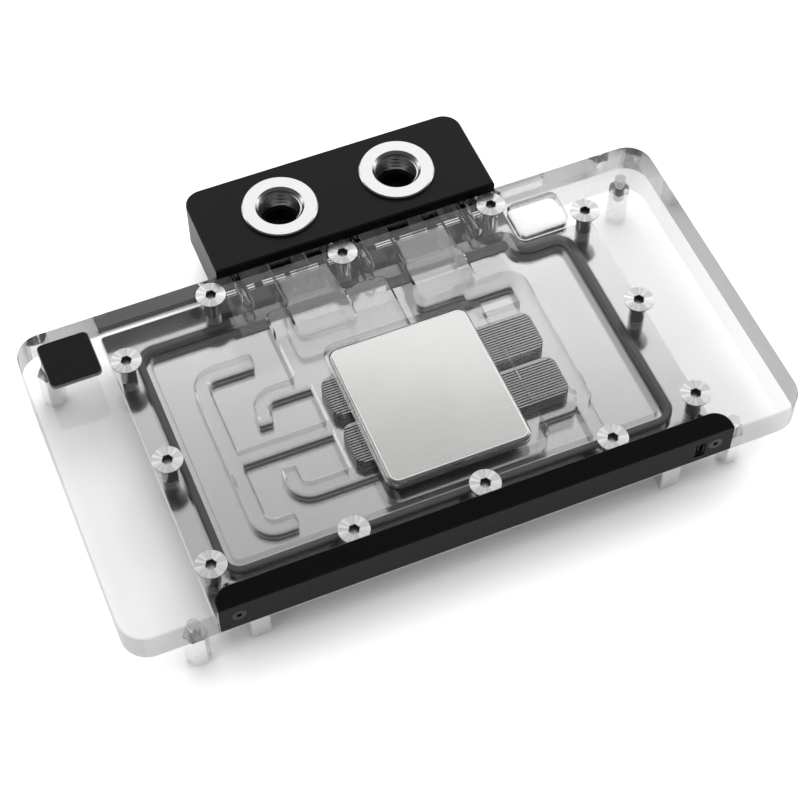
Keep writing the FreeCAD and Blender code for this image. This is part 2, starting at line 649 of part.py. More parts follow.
def cut_edge_holes(body):
    """Ducts and terminal screws' holes from the back face, bar screws' holes in the notch."""
    mouths = sketch_on(body, "duct_mouths", "XZ_Plane", "-cover_width / 2")
    for x in PORTS.values():
        for left, right in ((f"{x} - duct_width / 2", f"{x} + port_aside - rib_width / 2"),
                            (f"{x} + port_aside + rib_width / 2", f"{x} + duct_width / 2")):
            rectangle(mouths, left, right, "duct_low", "duct_high", "duct_corner")
    pocket(body, mouths, "rib_length", along=True)
    ducts = sketch_on(body, "cover_ducts", "XZ_Plane", "rib_length - cover_width / 2")
    duct_mouths(ducts, PORTS.values())
    pocket(body, ducts, "cover_width / 2 - tray_back + tray_corner - rib_length", along=True)
    for name, level, depth, taper in (("stay_holes", "0", "stay_drill", 0),
                                      ("stay_tips", "stay_drill", "stay_tip", 45)):
        stays = sketch_on(body, name, "XZ_Plane", f"{level} - cover_width / 2")
        for x in STAYS:
            circle(stays, x, "stay_high", "stay_shank + 2 * fit_gap")
        pocket(body, stays, depth, along=True, taper=taper)
    pins = sketch_on(body, "pin_holes", "XZ_Plane", "cover_width / 2")
    for x in PINS:
        circle(pins, x, "pin_high", "pin_shank + 2 * fit_gap")
    pocket(body, pins, "bar_body + pin_reach + fit_gap")


def cut_face_holes(body):
    """Countersunk holes for the cover screws from above, stud holes from below."""
    holes = sketch_on(body, "screw_holes", offset="cover_thick")
    for x, y in COVER_SCREWS:
        circle(holes, x, y, "screw_clear")
    before = body.Shape.Volume
    drill = body.newObject("PartDesign::Hole", "countersunk_holes")
    drill.Profile = holes
    drill.ThreadType = "None"
    drill.DepthType = "ThroughAll"
    drill.HoleCutType = "Countersink"
    drill.HoleCutCustomValues = True
    drill.HoleCutCountersinkAngle = 90
    bind(drill, "Diameter", "screw_clear")
    bind(drill, "HoleCutDiameter", "screw_head + 2 * screw_rim + 2 * fit_gap")
    doc.recompute()
    check_cut(drill, before)

    studs = sketch_on(body, "stud_holes")
    for post in POSTS:
        circle(studs, f"{post}_x", f"{post}_y", "post_stud + 2 * fit_gap")
    pocket(body, studs, "post_stud_length + fit_gap", along=True)


def make_plate():
    """Copper plate with pedestals below, two banks of fins above and the screws' holes."""
    body = new_body("cold_plate", PLATE_LEVEL)
    plan = sketch_on(body, "plate_plan")
    outline(plan, [
        ("plate_left", "plate_front", "plate_corner"),
        ("plate_right", "plate_front", "plate_corner"),
        ("plate_right", "notch_y", "plate_corner"),
        ("notch_x", "notch_y", "notch_corner"),
        ("notch_x", "plate_back", "plate_corner"),
        ("plate_left", "plate_back", "plate_corner")])
    pad(body, plan, "plate_thick")
    bevel(body, edges_at(body, "Z", size("plate_thick")), "edge_chamfer")

    left, right = "gpu_x - gpu_length / 2", "gpu_x + gpu_length / 2"
    front, back = "gpu_y - gpu_width / 2", "gpu_y + gpu_width / 2"
    foot = sketch_on(body, "gpu_foot")
    rectangle(foot, left, right, front, back, "pad_corner")
    pad(body, foot, "gpu_drop", against=True)

    memory = sketch_on(body, "memory_pads")
    rectangle(memory, left, right, f"{back} + memory_gap",
              f"{back} + memory_gap + memory_width", "pad_corner")
    rectangle(memory, f"{left} - memory_gap - memory_width", f"{left} - memory_gap",
              front, back, "pad_corner")
    rectangle(memory, f"{right} + memory_gap", f"{right} + memory_gap + memory_width",
              front, back, "pad_corner")
    pad(body, memory, "pad_drop", against=True)
    power = sketch_on(body, "power_pads")
    for x, end in (("power_left", "plate_back"), ("power_right", "notch_y")):
        rectangle(power, f"{x} - power_width / 2", f"{x} + power_width / 2", "plate_front",
                  f"{end} - power_margin", "pad_corner")
    pad(body, power, "pad_drop", against=True)

    cut_fins(body)
    holes = sketch_on(body, "thread_holes")
    for x, y in COVER_SCREWS:
        circle(holes, x, y, "screw_shank + 2 * fit_gap")
    pocket(body, holes, "plate_thick", along=True)
    return body


def cut_fins(body):
    """Two banks of fins: each a block that one slot, repeated at the pitch, cuts into fins."""
    for name, near, side in (("high_bank", "arm_mid + fin_inner", "+"),
                             ("low_bank", "arm_mid - fin_inner", "-")):
        bank = sketch_on(body, name, offset="plate_thick")
        edges = [near, f"{near} {side} fin_bank"]
        front, back = sorted(edges, key=size)
        rectangle(bank, "fin_left", "fin_right", front, back, "fin_corner")
        pad(body, bank, "fin_height")
        slot = sketch_on(body, name + "_slot", offset="plate_thick + fin_height")
        rectangle(slot, "fin_left - fin_slot", "fin_right + fin_slot",
                  f"{front} + fin_pitch - fin_slot", f"{front} + fin_pitch")
        first = pocket(body, slot, "fin_height")
        before = body.Shape.Volume
        count = int(size("(fin_bank - fin_pitch) / fin_pitch"))
        pattern = body.newObject("PartDesign::LinearPattern", name + "_slots")
        pattern.Originals = [first]
        pattern.Direction = (slot, ["V_Axis"])
        pattern.Occurrences = count
        bind(pattern, "Length", f"{count - 1} * fin_pitch")
        body.Tip = pattern
        doc.recompute()
        check_cut(pattern, before)


def make_flow_plate():
    """Plate that lies on the fins and keeps the water between them."""
    body = new_body("flow_plate", f"{PLATE_TOP} + fin_height")
    plan = sketch_on(body, "flow_plan")
    rectangle(plan, "flow_left", "flow_right", "flow_front", "flow_back", "flow_corner")
    pad(body, plan, "flow_thick")
    rounding(body, edges_at(body, "Z", size("flow_thick")), "flow_round")
    return body


def make_o_ring():
    """Perimeter O-ring, pressed between the plate and its groove in the cover."""
    body = new_body("perimeter_o_ring", PLATE_TOP)
    ring = sketch_on(body, "o_ring_plan")
    seal_line(ring, "seal_cord / 2")
    seal_line(ring, "-seal_cord / 2")
    pad(body, ring, "groove_depth")
    rims = edges_at(body, "Z", 0) + edges_at(body, "Z", size("groove_depth"))
    rounding(body, rims, "seal_round")
    return body


def make_duct_seal(port):
    """Seal round a duct, pressed in the terminal's front face."""
    body = new_body(port + "_seal", COVER_LEVEL)
    ring = sketch_on(body, port + "_seal_plan", "XZ_Plane", "-cover_width / 2 - fit_gap")
    duct_mouths(ring, [PORTS[port]], "duct_seal_gap + duct_cord / 2")
    duct_mouths(ring, [PORTS[port]], "duct_seal_gap - duct_cord / 2")
    pad(body, ring, "duct_seal_depth", against=True)
    return body


def make_terminal():
    """Terminal block with port bores, ducts, seal grooves and counterbored screw holes."""
    body = new_body("terminal_block", f"{COVER_LEVEL} - terminal_drop")
    front, back = "cover_width / 2 + fit_gap", "cover_width / 2 + terminal_depth"
    top = "terminal_drop + cover_thick + terminal_rise"
    for name, edge, level in (
            ("terminal_plan", front, "0"),
            ("terminal_lip", "cover_width / 2 - terminal_lip",
             "terminal_drop + cover_thick + fit_gap")):
        plan = sketch_on(body, name, offset=level)
        outline(plan, [("terminal_left", edge, "0"), ("terminal_right", edge, "0"),
                       ("terminal_right", back, "terminal_corner"),
                       ("terminal_left", back, "terminal_corner")])
        pad(body, plan, f"{top} - ({level})")
    rims = edges_at(body, "Z", size(top)) + edges_at(body, "Z", 0)
    bevel(body, rims, "terminal_chamfer")

    for name, diameter, depth in (
            ("sleeve_bores", "port_sleeve + 2 * fit_gap", "port_sleeve_length + fit_gap"),
            ("port_throats", "port_throat", f"{top} - port_floor - terminal_drop")):
        bores = sketch_on(body, name, offset=top)
        for x in PORTS.values():
            circle(bores, f"{x} + port_aside", "cover_width / 2 + port_setback", diameter)
        pocket(body, bores, depth)

    cut_terminal_front(body)
    for name, diameter, depth in (
            ("stay_counterbores", "stay_head + 2 * stay_gap", "stay_sink"),
            ("stay_bores", "stay_shank + 2 * stay_gap", "terminal_depth")):
        bores = sketch_on(body, name, "XZ_Plane", "-cover_width / 2 - terminal_depth")
        for x in STAYS:
            circle(bores, x, "stay_high + terminal_drop", diameter)
        pocket(body, bores, depth, along=True)
    return body


def cut_terminal_front(body):
    """Ducts and seal grooves in the terminal's front face, at the height of the cover's."""
    for x in PORTS.values():
        for name, margins, depth in (
                ("duct", ["0"], "port_setback"),
                ("seal_seat", ["duct_seal_gap + duct_cord / 2 + fit_gap",
                               "duct_seal_gap - duct_cord / 2 - fit_gap"],
                 "duct_seal_depth")):
            sketch = sketch_on(body, "terminal_" + name, "XZ_Plane",
                               "-cover_width / 2 - fit_gap")
            bind(sketch, "AttachmentOffset.Base.y", "terminal_drop")
            for margin in margins:
                duct_mouths(sketch, [x], margin)
            pocket(body, sketch, depth)


def make_port_ring(port):
    """Metal collar with the port's thread: a flange on the terminal and a sleeve in it."""
    body = new_body(port + "_port_ring", f"{COVER_LEVEL} + cover_thick + terminal_rise",
                    f"{PORTS[port]} + port_aside", "cover_width / 2 + port_setback")
    section = sketch_on(body, port + "_ring_section", "XZ_Plane")
    flange, sleeve, bore = "port_flange / 2", "port_sleeve / 2", "port_bore / 2"
    polygon(section, [
        (bore, "-port_sleeve_length"), (sleeve, "-port_sleeve_length"), (sleeve, "0"),
        (flange, "0"), (flange, "port_proud - port_bevel"),
        (f"{flange} - port_bevel", "port_proud"), ("port_mouth / 2", "port_proud"),
        (bore, "port_proud - (port_mouth - port_bore) / 2")])
    turn(body, section)
    return body


def make_light_bar():
    """Light bar's cover with its lip, the recess for the lights and its screw holes."""
    body = new_body("light_bar_cover", COVER_LEVEL)
    plan = sketch_on(body, "bar_plan")
    bar_plan(plan, "bar_body")
    pad(body, plan, "cover_thick + bar_rise")
    lip = sketch_on(body, "bar_lip_plan", offset="cover_thick + fit_gap")
    bar_plan(lip, "bar_lip")
    pad(body, lip, "bar_rise - fit_gap")
    bevel(body, edges_at(body, "Z", size("cover_thick + bar_rise")), "edge_chamfer")

    recess = sketch_on(body, "light_recess", "XZ_Plane", "cover_width / 2 - bar_body")
    rectangle(recess, "bar_left + recess_end", "bar_right - recess_end",
              "recess_low", "recess_high", "cutter_corner")
    pocket(body, recess, "recess_depth", along=True)
    window = sketch_on(body, "socket_window", "XZ_Plane", "cover_width / 2")
    rectangle(window, "socket_x - socket_width / 2 - fit_gap",
              "socket_x + socket_width / 2 + fit_gap", "socket_low - fit_gap",
              "socket_low + socket_height + fit_gap")
    pocket(body, window, "bar_body")
    for name, diameter, depth in (
            ("pin_counterbores", "pin_head + 2 * fit_gap", "pin_head_height"),
            ("pin_bores", "pin_shank + 2 * fit_gap", "bar_body")):
        bores = sketch_on(body, name, "XZ_Plane", "cover_width / 2")
        for x in PINS:
            circle(bores, x, "pin_high", diameter)
        pocket(body, bores, depth)
    return body


def make_light_strip():
    """Strip that carries the light diodes, on the recess's front wall."""
    body = new_body("led_strip", COVER_LEVEL)
    front = "cover_width / 2 - bar_body + recess_depth - strip_gap"
    plan = sketch_on(body, "strip_plan", "XZ_Plane", front)
    rectangle(plan, "bar_left + recess_end + strip_gap", "bar_right - recess_end - strip_gap",
              "recess_low + strip_gap", "recess_high - strip_gap", "cutter_corner")
    pad(body, plan, "strip_thick", against=True)
    return body


def make_light_diodes():
    """Light diodes in a row on the strip, facing the cover."""
    form = doc.addObject("Part::Box", "diode_form")
    bind(form, "Length", "diode_size")
    bind(form, "Width", "diode_thick")
    bind(form, "Height", "diode_size")
    doc.recompute()
    middle = "(bar_left + bar_right) / 2 - diode_size / 2"
    y = "-cover_width / 2 + bar_body - recess_depth + strip_gap + strip_thick"
    z = "(recess_low + recess_high) / 2 - diode_size / 2"
    count = int(size("diode_count"))
    places = [(f"{middle} + ({n - (count - 1) / 2}) * diode_pitch", y, z) for n in range(count)]
    return copies("led_diodes", form, places)


def make_light_socket():
    """Connector of the lights: an open shell with a tongue, in the bar's window."""
    body = new_body("led_socket", COVER_LEVEL)
    front = "cover_width / 2 - socket_inset"
    left, right = "socket_x - socket_width / 2", "socket_x + socket_width / 2"
    low, high = "socket_low", "socket_low + socket_height"
    shell = sketch_on(body, "socket_shell", "XZ_Plane", front)
    rectangle(shell, left, right, low, high)
    pad(body, shell, "socket_depth", against=True)
    inside = sketch_on(body, "socket_inside", "XZ_Plane", front)
    rectangle(inside, f"{left} + socket_wall", f"{right} - socket_wall",
              f"{low} + socket_wall", f"{high} - socket_wall")
    pocket(body, inside, "socket_depth - socket_wall")
    tongue = sketch_on(body, "socket_tongue", "XZ_Plane", f"{front} - socket_wall")
    rectangle(tongue, "socket_x - socket_wall / 2", "socket_x + socket_wall / 2",
              f"{low} + 2 * socket_wall", f"{high} - 2 * socket_wall")
    pad(body, tongue, "socket_depth - socket_wall", against=True)
    return body


def make_badge():
    """Plain badge with a bevelled edge."""
    body = new_body("badge", f"{COVER_LEVEL} + cover_thick")
    plan = sketch_on(body, "badge_plan")
    rectangle(plan, "badge_left", "badge_left + badge_length", "badge_back - badge_width",
              "badge_back", "badge_corner")
    pad(body, plan, "badge_thick")
    bevel(body, edges_at(body, "Z", size("badge_thick")), "badge_bevel")
    return body


def screw_form(name, section_points, key, key_depth):
    """One screw with its head's top at the origin, turned and then socketed for its key."""
    body = doc.addObject("PartDesign::Body", name)
    section = sketch_on(body, name + "_section", "XZ_Plane")
    polygon(section, section_points)
    turn(body, section)
    socket = sketch_on(body, name + "_socket")
    hexagon(socket, key)
    pocket(body, socket, key_depth)
    return body


def make_cover_screws():
    """Countersunk screws that hold the cover on the plate."""
    head, shank = "screw_head / 2", "screw_shank / 2"
    end = "-(cover_thick + screw_bite)"
    form = screw_form("cover_screw_form", [
        ("0", end), (shank, end), (shank, f"-(screw_rim + {head} - {shank})"),
        (head, "-screw_rim"), (head, "0"), ("0", "0")], "screw_key", "screw_key_depth")
    return copies("cover_screws", form, [(x, y, "cover_thick") for x, y in COVER_SCREWS])


def make_terminal_screws():
    """Long screws that pull the terminal against the cover."""
    form = screw_form("terminal_screw_form", straight_screw(
        "stay", "-(stay_head_height + terminal_depth - stay_sink + stay_reach)"),
        "stay_key", "stay_key_depth")
    y = "cover_width / 2 + terminal_depth - stay_sink + stay_head_height"
    return copies("terminal_screws", form, [(x, y, "stay_high") for x in STAYS], turned=-90)


def make_bar_screws():
    """Small screws that hold the light bar in its notch."""
    form = screw_form("bar_screw_form", straight_screw("pin", "-(bar_body + pin_reach)"),
                      "pin_key", "pin_key_depth")
    places = [(x, "-cover_width / 2", "pin_high") for x in PINS]
    return copies("light_bar_screws", form, places, turned=90)


def straight_screw(kind, end):
    """Half section of a screw with a cylindrical head, from its named sizes."""
    head, shank, under = f"{kind}_head / 2", f"{kind}_shank / 2", f"-{kind}_head_height"
    return [("0", end), (shank, end), (shank, under), (head, under), (head, "0"), ("0", "0")]


def make_post(post):
    """Hex standoff with a stud above and a threaded bore from below."""
    body = new_body("standoff_" + post, PLATE_TOP, f"{post}_x", f"{post}_y")
    plan = sketch_on(body, post + "_hexagon")
    hexagon(plan, "post_flats")
    pad(body, plan, "post_length", against=True)
    inner, outer = "post_flats / 2 - post_bevel / 4", "post_flats / sqrt(3) + post_bevel"
    for end, away in (("0", "-post_bevel"), ("-post_length", "-post_length + post_bevel")):
        ring = sketch_on(body, post + "_bevel", "XZ_Plane")
        polygon(ring, [(inner, end), (outer, end), (outer, away)])
        turn(body, ring, cut=True)
    stud = sketch_on(body, post + "_stud")
    circle(stud, "0", "0", "post_stud")
    pad(body, stud, "post_stud_length")
    bore = sketch_on(body, post + "_bore", offset="-post_length")
    circle(bore, "0", "0", "post_bore")
    pocket(body, bore, "post_bore_depth", along=True)
    return body


def check(sub_parts):
    """Stops the build if anything in the document failed."""
    doc.recompute()
    for thing in doc.Objects:
        if "Invalid" in thing.State or "Error" in thing.State:
            raise RuntimeError(f"{thing.Name} failed: {thing.State}")
    for sub_part in sub_parts:
        if sub_part.Shape.isNull() or not sub_part.Shape.isValid():
            raise RuntimeError(f"{sub_part.Label} has no valid shape")


def main():
    """Builds every sub-part and writes each to its own file."""
    sub_parts = [make_cover(), make_plate(), make_flow_plate(), make_o_ring(), make_terminal()]
    for port in PORTS:
        sub_parts += [make_port_ring(port), make_duct_seal(port)]
    sub_parts += [make_light_bar(), make_light_strip(), make_light_diodes()]
    sub_parts += [make_light_socket(), make_badge()]
    sub_parts += [make_cover_screws(), make_terminal_screws(), make_bar_screws()]
    sub_parts += [make_post(post) for post in POSTS]
    check(sub_parts)
    os.makedirs("parts", exist_ok=True)
    for sub_part in sub_parts:
        sub_part.Shape.exportStep(f"parts/{sub_part.Label}.step")
        box = sub_part.Shape.BoundBox
        print(f"{sub_part.Label:20} {len(sub_part.Shape.Solids):3} solids, volume "
              f"{sub_part.Shape.Volume:9.1f}, z {box.ZMin:6.2f} to {box.ZMax:6.2f}")


main()
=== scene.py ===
"""Looks of the liquid cooling cold plate: materials, light, camera and fine detail.

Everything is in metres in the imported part's frame. The fine detail is placed by the boxes of
the nodes that it belongs to.
"""

import bmesh
import bpy
import math
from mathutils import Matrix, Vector


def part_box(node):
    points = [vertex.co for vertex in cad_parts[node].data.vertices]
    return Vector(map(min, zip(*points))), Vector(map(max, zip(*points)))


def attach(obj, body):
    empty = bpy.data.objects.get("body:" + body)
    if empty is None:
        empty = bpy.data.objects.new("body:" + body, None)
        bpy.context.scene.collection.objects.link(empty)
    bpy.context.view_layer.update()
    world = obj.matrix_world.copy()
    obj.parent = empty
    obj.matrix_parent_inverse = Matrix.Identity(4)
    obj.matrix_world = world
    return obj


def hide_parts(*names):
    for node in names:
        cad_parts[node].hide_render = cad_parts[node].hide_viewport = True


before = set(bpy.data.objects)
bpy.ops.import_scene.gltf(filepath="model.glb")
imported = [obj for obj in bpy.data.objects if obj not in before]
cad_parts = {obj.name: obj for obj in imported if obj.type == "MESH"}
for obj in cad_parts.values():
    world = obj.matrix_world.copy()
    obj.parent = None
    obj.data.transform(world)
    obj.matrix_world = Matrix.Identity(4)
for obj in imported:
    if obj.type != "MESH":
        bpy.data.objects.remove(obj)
MM = 0.001
BODY = "root"

# Camera of the photograph: where it looks, from which side, how far and how wide.
CAMERA_TARGET = Vector((-8.97, -3.34, 18.5)) * MM
CAMERA_AZIMUTH = math.radians(-22.39)
CAMERA_ELEVATION = math.radians(55.33)
CAMERA_ROLL = math.radians(-0.16)
CAMERA_DISTANCE = 506.2 * MM
CAMERA_VIEW = math.radians(22.48)
CAMERA_NEAR = 20 * MM

# Brightness of the surroundings at angles over the picture's horizontal, in degrees, and the
# greatest of them.
SKY = [(0, 0.9), (14, 1.0), (18, 1.75), (50, 1.75), (53.5, 1.6), (54.55, 1.5), (54.6, 1.32),
       (55.12, 1.22), (55.17, 1.10), (56.3, 0.95), (58.7, 0.85), (62, 0.8), (70, 0.7), (85, 0.4),
       (100, 0.18), (120, 0.12), (160, 0.12), (180, 0.25)]
SKY_PEAK = max(grey for angle, grey in SKY)

# Square studio lights, which mirrors don't show: place, side and power in watts.
LIGHTS = {"overhead": ((0.2, 0.3, 1.8), 2.2, 38),
          "left": ((-1.6, -0.2, 1.2), 1.4, 12)}

# Floor: side, colour, roughness, size and greys of its faint clouds, and its own glow.
FLOOR_SIZE = 12.0
FLOOR_COLOUR = (0.93, 0.93, 0.93)
FLOOR_ROUGHNESS = 0.6
FLOOR_CLOUD = 3.0
FLOOR_GREYS = (0.90, 0.925)
FLOOR_GLOW = 0.07

# Where a ramp's new stop is made, before it gets its own place.
RAMP_MIDDLE = 0.5

# Noise: its detail, and where its two shades begin, in soft clouds and in a wide fine grain.
NOISE_DETAIL = 3.0
SOFT = (0.3, 0.7)
WIDE = (0.2, 0.8)

# Clear acrylic: light that passes a face, how much more its outer walls take, how far from
# the outline those reach, how high above the plate the milled walls are polished, and how
# far from the back edge the ducts, which are polished all over, reach.
CLEAR = 0.905
EDGE_TINT = 0.34
RIM_MARGIN = 4.5 * MM
MIRROR_WALL = 2.0 * MM
DUCT_DEPTH = 21 * MM

# Its faint haze, its gloss and grain, its index of refraction, and how the polish of the
# milled walls fades with height, as stops of height and share.
HAZE_CLOUD = 60.0
HAZE_SHADES = (0.995, 1.005)
ACRYLIC_SHINE = 0.95
ACRYLIC_GRAIN = 300.0
ACRYLIC_STRETCH = (1, 0.2, 1)
ACRYLIC_ROUGHNESS = (0.012, 0.03)
ACRYLIC_INDEX = 1.49
WALL_POLISH = [(0, 1.0), (0.65, 1.0), (1, 0.25)]

# Metals: size, shades, roughness and relief of their grain. The collars have a grey of their
# own, and the flow plate has a grey and a long shallow grain.
METAL_GRAIN = 400.0
METAL_SHADES = (0.97, 1.015)
METAL_ROUGHNESS = (0.85, 1.2)
METAL_BUMP = 0.3
METAL_RELIEF = 0.01 * MM
RING_GREY = (0.53, 0.53, 0.53)
FLOW_GREY = (0.78, 0.78, 0.77)
FLOW_STRETCH = (0.2, 6, 1)
FLOW_RELIEF = 0.0003 * MM

# Nickel of the copper plate, and the painted shade that darkens its fins between two heights
# over the plate.
PLATE_GREY = (0.68, 0.68, 0.675)
PLATE_STRETCH = (1, 8, 1)
PLATE_SHADES = (0.96, 1.02)
PLATE_ROUGHNESS = (0.155, 0.17, 0.185)
PLATE_BUMP = 0.1
PLATE_RELIEF = 0.0005 * MM
FIN_PAINTED_SHADE = 0.66
FIN_START = 0.3 * MM
FIN_END = 0.6 * MM

# Turned steel: name of the map round each head, grey, roughness, grain, how far and which way
# its highlights are drawn out, painted shade of its upright sides, and painted highlight and
# shade wedges round each head as stops of place and share.
TURNED_MAP = "around"
TURNED_GREY = 0.55
TURNED_ROUGHNESS = (0.27, 0.3, 0.33)
TURNED_GRAIN = 3000.0
TURNED_STRETCH = 0.9
TURNED_TURN = 0.25
TURNED_SIDE_SHADE = 0.28
PAINTED_WEDGE_SCALE = 2.6
PAINTED_WEDGE_DETAIL = 2.0
PAINTED_WEDGE_SHADES = [(0.36, 0.82), (0.5, 1.0), (0.64, 1.25)]

# Painted highlights on edges, warm and pale: colour, roughness, and size and shades of the
# grain.
PAINTED_GLINT_COLOUR = (0.95, 0.94, 0.88)
PAINTED_GLINT_ROUGHNESS = 0.4
PAINTED_GLINT_GRAIN = 1500.0
PAINTED_GLINT_SHADES = ((0.91, 0.90, 0.84), (0.97, 0.96, 0.90))

# Matt pieces, mostly black: size, shades and relief of their grain, and size and roughness of
# their clouds.
MATT_GRAIN = 2500.0
MATT_SHADES = (0.85, 1.15)
MATT_BUMP = 0.4
MATT_RELIEF = 0.02 * MM
MATT_CLOUD = 60.0
MATT_ROUGHNESS = (0.92, 1.08)

# Vertices nearer than this are one when solids are told apart.
WELD = 0.0001 * MM

# Cover screws, as their countersunk heads and keys are sold: steps round them, head's rim,
# radius of the shank, hexagon socket, and thread.
ROUND_STEPS = 36
SCREW_RIM = 0.15 * MM
SCREW_SHANK = 2.0 * MM
SCREW_KEY = 1.25 * MM
SCREW_KEY_DEPTH = 1.6 * MM
KEY_SIDES = 6
SCREW_PITCH = 0.7 * MM
SCREW_THREAD_DEPTH = 0.35 * MM
SCREW_THREADED = 2.9 * MM

# How much thinner the screw's tip is, how far the thread starts from it and runs out, and how
# the edges of the head and of its socket are broken.
SCREW_POINT = 1.3 * SCREW_THREAD_DEPTH
SCREW_LEAD = 0.1 * MM
SCREW_RUNOUT = 0.2 * MM
HEAD_BREAK_DEPTH = 0.05 * MM
HEAD_BREAK = 0.08 * MM
KEY_BREAK = 0.12 * MM

# Port thread: steps round it, bore, depth of its ridges, pitch, how far it stays from the
# collar's mouth, how far it reaches into the collar's wall, and roughness.
PORT_STEPS = 72
PORT_BORE = 5.9 * MM
PORT_THREAD_DEPTH = 0.5 * MM
PORT_PITCH = 1.337 * MM
PORT_MOUTH = 1.0 * MM
PORT_SINK = 0.01 * MM
PORT_ROUGHNESS = 0.2

# Rings of vertices in one turn of any thread.
THREAD_RINGS = 8

# Painted glints along the cover's lower back edge, as small bars that glow: spans as shares of
# the terminal's width, their thickness, how far they lie in front of the back face and above the
# lower face, the share of the thickness by which their top edges are broken, and their glow.
GLINTS = [(0.03, 0.13), (0.16, 0.24), (0.26, 0.36), (0.39, 0.46), (0.57, 0.64), (0.66, 0.76),
          (0.80, 0.88), (0.91, 0.97)]
GLINT_SIZE = 0.25 * MM
GLINT_BACK = 0.3 * MM
GLINT_UP = 0.3 * MM
GLINT_BREAK = 0.25
GLINT_GLOW = 0.6

# Painted highlight round the flow plate's top edge, a thin pale strip: inset, width, thickness,
# and radius and steps of its corners.
LINE_INSET = 0.9 * MM
LINE_WIDTH = 0.22 * MM
LINE_THICK = 0.02 * MM
LINE_CORNER = 2.2 * MM
LINE_STEPS = 8


class Tree:
    """Short ways to add and join the nodes of a node tree."""

    def __init__(self, tree):
        self.tree = tree

    def clear(self):
        """Empties the tree."""
        self.tree.nodes.clear()

    def add(self, kind, **values):
        """A node with its sockets set to numbers or joined to other sockets."""
        node = self.tree.nodes.new(kind)
        for name, value in values.items():
            self.put(node.inputs[name], value)
        return node

    def put(self, socket, value):
        """Sets a socket to a number or joins it to another socket."""
        if isinstance(value, bpy.types.NodeSocket):
            self.tree.links.new(value, socket)
        else:
            socket.default_value = value

    def link(self, source, target):
        """Joins two sockets."""
        self.tree.links.new(source, target)

    def math(self, operation, first, second=0.0):
        """A sum, product or the like of two numbers or sockets."""
        node = self.tree.nodes.new("ShaderNodeMath")
        node.operation = operation
        self.put(node.inputs[0], first)
        self.put(node.inputs[1], second)
        return node.outputs[0]

    def ramp(self, source, stops, from_range=None):
        """A smooth ramp through stops (position, grey or colour)."""
        if from_range:
            low, high = from_range
            source = self.math("DIVIDE", self.math("SUBTRACT", source, low), high - low)
        node = self.tree.nodes.new("ShaderNodeValToRGB")
        self.put(node.inputs["Fac"], source)
        elements = node.color_ramp.elements
        while len(elements) < len(stops):
            elements.new(RAMP_MIDDLE)
        for element, (position, grey) in zip(elements, stops):
            element.position = position
            colour = grey if isinstance(grey, tuple) else (grey, grey, grey)
            element.color = (*colour, 1)
        return node.outputs["Color"]

    def shades(self, source, greys, stops=SOFT):
        """A ramp from one grey or colour to another between two stops of a noise."""
        return self.ramp(source, list(zip(stops, greys)))

    def place(self):
        """The position on the object, in metres."""
        return self.tree.nodes.new("ShaderNodeTexCoord").outputs["Object"]

    def noise(self, scale, stretch=(1, 1, 1)):
        """Cloudy noise of a scale, stretched by a factor along each axis."""
        place = self.add("ShaderNodeMapping", Vector=self.place(), Scale=stretch).outputs[0]
        return self.add("ShaderNodeTexNoise", Vector=place, Scale=scale,
                        Detail=NOISE_DETAIL).outputs[0]

    def axes(self):
        """The position on the object along X, Y and Z, as sockets."""
        return self.add("ShaderNodeSeparateXYZ", Vector=self.place()).outputs

    def level(self):
        """1 on faces that look up or down, 0 on upright walls."""
        normal = self.tree.nodes.new("ShaderNodeNewGeometry").outputs["True Normal"]
        height = self.add("ShaderNodeSeparateXYZ", Vector=normal).outputs["Z"]
        return self.math("ABSOLUTE", height)

    def beyond(self, place, low, high, margin):
        """1 where a place is nearer than a margin to either end of a span, 0 between."""
        away = self.math("ABSOLUTE", self.math("SUBTRACT", place, (low + high) / 2))
        return self.math("GREATER_THAN", away, (high - low) / 2 - margin)

    def streaks(self):
        """Noise that runs out from the middle of each turned face: painted highlight and shade
        wedges.
        """
        turned = self.tree.nodes.new("ShaderNodeUVMap")
        turned.uv_map = TURNED_MAP
        turn = self.add("ShaderNodeSeparateXYZ", Vector=turned.outputs[0]).outputs["X"]
        angle = self.math("MULTIPLY", turn, 2 * math.pi)
        circle = self.add("ShaderNodeCombineXYZ", X=self.math("COSINE", angle),
                          Y=self.math("SINE", angle)).outputs[0]
        return self.add("ShaderNodeTexNoise", Vector=circle, Scale=PAINTED_WEDGE_SCALE,
                        Detail=PAINTED_WEDGE_DETAIL).outputs[0]

    def bump(self, height, strength, distance):
        """A bumped normal."""
        return self.add("ShaderNodeBump", Height=height, Strength=strength,
                        Distance=distance).outputs[0]


def principled(name, colour, metallic, roughness):
    """A material with its shader: (material, tree, shader)."""
    material = bpy.data.materials.new(name)
    material.use_nodes = True
    tree = Tree(material.node_tree)
    shader = next(n for n in material.node_tree.nodes if n.type == "BSDF_PRINCIPLED")
    shader.inputs["Base Color"].default_value = (*colour, 1)
    shader.inputs["Metallic"].default_value = metallic
    shader.inputs["Roughness"].default_value = roughness
    return material, tree, shader


def glow_white(shader, strength):
    """Lets a shader glow white."""
    shader.inputs["Emission Color"].default_value = (1, 1, 1, 1)
    shader.inputs["Emission Strength"].default_value = strength


def make_camera():
    """The camera at the photograph's viewing angle."""
    data = bpy.data.cameras.new("camera")
    data.angle = CAMERA_VIEW
    data.clip_start = CAMERA_NEAR
    camera = bpy.data.objects.new("camera", data)
    bpy.context.scene.collection.objects.link(camera)
    back = Vector((math.sin(CAMERA_AZIMUTH) * math.cos(CAMERA_ELEVATION),
                   -math.cos(CAMERA_AZIMUTH) * math.cos(CAMERA_ELEVATION),
                   math.sin(CAMERA_ELEVATION)))
    camera.location = CAMERA_TARGET + back * CAMERA_DISTANCE
    camera.rotation_euler = (-back).to_track_quat("-Z", "Y").to_euler()
    camera.rotation_euler.rotate_axis("Z", CAMERA_ROLL)
    bpy.context.scene.camera = camera


